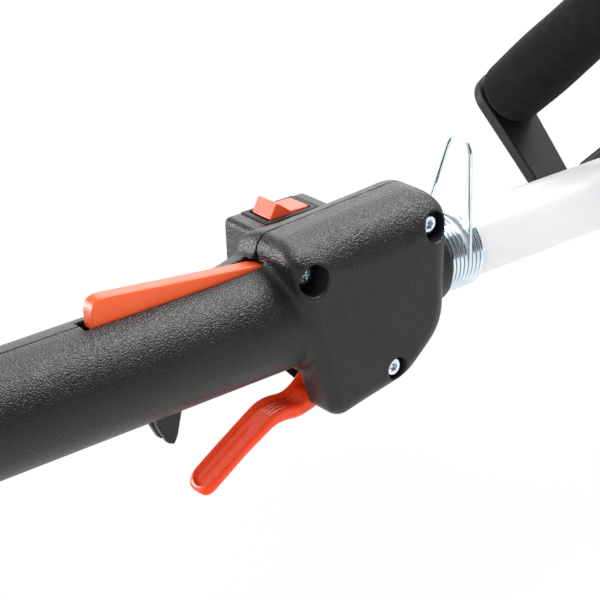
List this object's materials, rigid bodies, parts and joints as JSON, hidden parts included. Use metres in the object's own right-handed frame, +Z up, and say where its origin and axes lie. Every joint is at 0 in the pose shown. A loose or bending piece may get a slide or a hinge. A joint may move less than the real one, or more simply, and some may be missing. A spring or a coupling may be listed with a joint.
{
  "type": "gas string trimmer",
  "caption": "Straight-shaft petrol line trimmer with a side-switch control handle, sprung hanger loop, foam loop handle, small engine and guarded bump-feed head.",
  "frame": {"origin": "centre of the engine foot's rest face, on the ground", "axes": "+X forward along the shaft from the engine to the cutting head, +Y to the user's left, +Z up"},
  "size_m": [1.646, 0.26, 0.298],
  "materials": {
    "charcoal_plastic": "fine-grained, satin",
    "black_plastic": "satin",
    "orange_plastic": "semi-gloss",
    "red_plastic": "gloss",
    "black_foam": "open fine foam, dull",
    "white_paint": "gloss",
    "zinc_steel": "bright zinc plate",
    "steel": "ground",
    "cast_aluminium": "die-cast, dull",
    "tank_plastic": "cloudy",
    "rubber": "dull"
  },
  "bodies": {
    "chassis": {"shaft_tube": "white_paint", "shaft_bush": "black_plastic", "handle_shell_right": "charcoal_plastic", "handle_shell_left": "charcoal_plastic", "shell_screw_upper": "zinc_steel", "shell_screw_rear": "zinc_steel", "shell_screw_lower": "zinc_steel", "trigger_pin": "zinc_steel", "lever_pin": "zinc_steel", "switch_body": "black_plastic", "hanger_spring": "zinc_steel", "clutch_housing": "charcoal_plastic", "clutch_bearing": "steel", "clutch_rotor": "steel", "flywheel": "cast_aluminium", "crankshaft": "steel", "crankcase": "cast_aluminium", "connecting_rod": "cast_aluminium", "wrist_pin": "steel", "piston": "cast_aluminium", "cylinder": "cast_aluminium", "spark_plug": "steel", "plug_boot": "rubber", "top_shroud": "orange_plastic", "fan_housing": "charcoal_plastic", "muffler": "steel", "muffler_guard": "charcoal_plastic", "intake_block": "black_plastic", "carburettor": "cast_aluminium", "air_filter_base": "black_plastic", "air_filter_element": "black_foam", "air_filter_cover": "charcoal_plastic", "starter_housing": "charcoal_plastic", "fuel_tank": "tank_plastic", "engine_foot": "charcoal_plastic", "gearbox_housing": "cast_aluminium", "spindle_bearing": "steel", "debris_guard": "black_plastic", "guard_bracket": "charcoal_plastic", "line_cutter": "zinc_steel"},
    "loop_handle": {"loop_frame": "black_plastic", "loop_clamp": "black_plastic", "clamp_bolt_left": "zinc_steel", "clamp_bolt_right": "zinc_steel", "foam_grip": "black_foam"},
    "trigger": {"throttle_trigger": "orange_plastic"},
    "lockout": {"lockout_lever": "orange_plastic"},
    "stop_rocker": {"switch_rocker": "red_plastic"},
    "throttle": {"throttle_arm": "zinc_steel"},
    "choke": {"choke_lever": "black_plastic"},
    "primer": {"primer_bulb": "rubber"},
    "cap": {"fuel_cap": "black_plastic"},
    "pull_handle": {"starter_handle": "black_plastic"},
    "drive": {"clutch_drum": "steel", "drive_shaft": "steel", "pinion_gear": "steel"},
    "head": {"output_spindle": "steel", "head_housing": "black_plastic"},
    "spool": {"line_spool": "orange_plastic", "bump_knob": "orange_plastic"}
  },
  "joints": [
    {"name": "loop_swivel", "type": "hinge", "parent": "chassis", "child": "loop_handle", "pos_m": [0.4995, 0, 0.15], "axis": [1, 0, 0], "range_deg": [-40, 40]},
    {"name": "trigger_pull", "type": "hinge", "parent": "chassis", "child": "trigger", "pos_m": [0.328, 0, 0.125], "axis": [0, 1, 0], "range_deg": [0, 14], "stiffness_Nm_per_rad": 0.15, "springref_deg": -8.59},
    {"name": "lockout_press", "type": "hinge", "parent": "chassis", "child": "lockout", "pos_m": [0.2955, 0, 0.1668], "axis": [0, -1, 0], "range_deg": [0, 4], "stiffness_Nm_per_rad": 0.2, "springref_deg": -5.73},
    {"name": "stop_switch", "type": "hinge", "parent": "chassis", "child": "stop_rocker", "pos_m": [0.3234, 0.0211, 0.1752], "axis": [0, -1, 0], "range_deg": [0, 24]},
    {"name": "throttle_turn", "type": "hinge", "parent": "chassis", "child": "throttle", "pos_m": [-0.0215, 0.078, 0.221], "axis": [1, 0, 0], "range_deg": [0, 35]},
    {"name": "choke_turn", "type": "hinge", "parent": "chassis", "child": "choke", "pos_m": [0.006, 0.078, 0.2415], "axis": [0, 0, 1], "range_deg": [0, 60]},
    {"name": "primer_press", "type": "slide", "parent": "chassis", "child": "primer", "axis": [0, 0, 1], "range_m": [0, 0.003], "stiffness_N_per_m": 400, "springref_m": -0.001},
    {"name": "cap_turn", "type": "hinge", "parent": "chassis", "child": "cap", "pos_m": [0.015, -0.059, 0.095], "axis": [0, 0, 1], "range_deg": [0, 360]},
    {"name": "starter_pull", "type": "slide", "parent": "chassis", "child": "pull_handle", "axis": [0, 1, 0], "range_m": [0, 0.5], "stiffness_N_per_m": 12, "springref_m": -0.12},
    {"name": "head_spin", "type": "hinge", "parent": "chassis", "child": "head", "pos_m": [1.47, 0, 0.15], "axis": [0.5, 0, -0.866], "continuous": true},
    {"name": "drive_spin", "type": "hinge", "parent": "chassis", "child": "drive", "pos_m": [1, 0, 0.15], "axis": [1, 0, 0], "continuous": true},
    {"name": "bump_feed", "type": "slide", "parent": "head", "child": "spool", "axis": [-0.5, 0, 0.866], "range_m": [0, 0.006], "stiffness_N_per_m": 900, "springref_m": -0.006}
  ],
  "couplings": [
    {"joint": "throttle_turn", "follows": "trigger_pull", "ratio": 2.5},
    {"joint": "drive_spin", "follows": "head_spin", "ratio": 1.4}
  ]
}
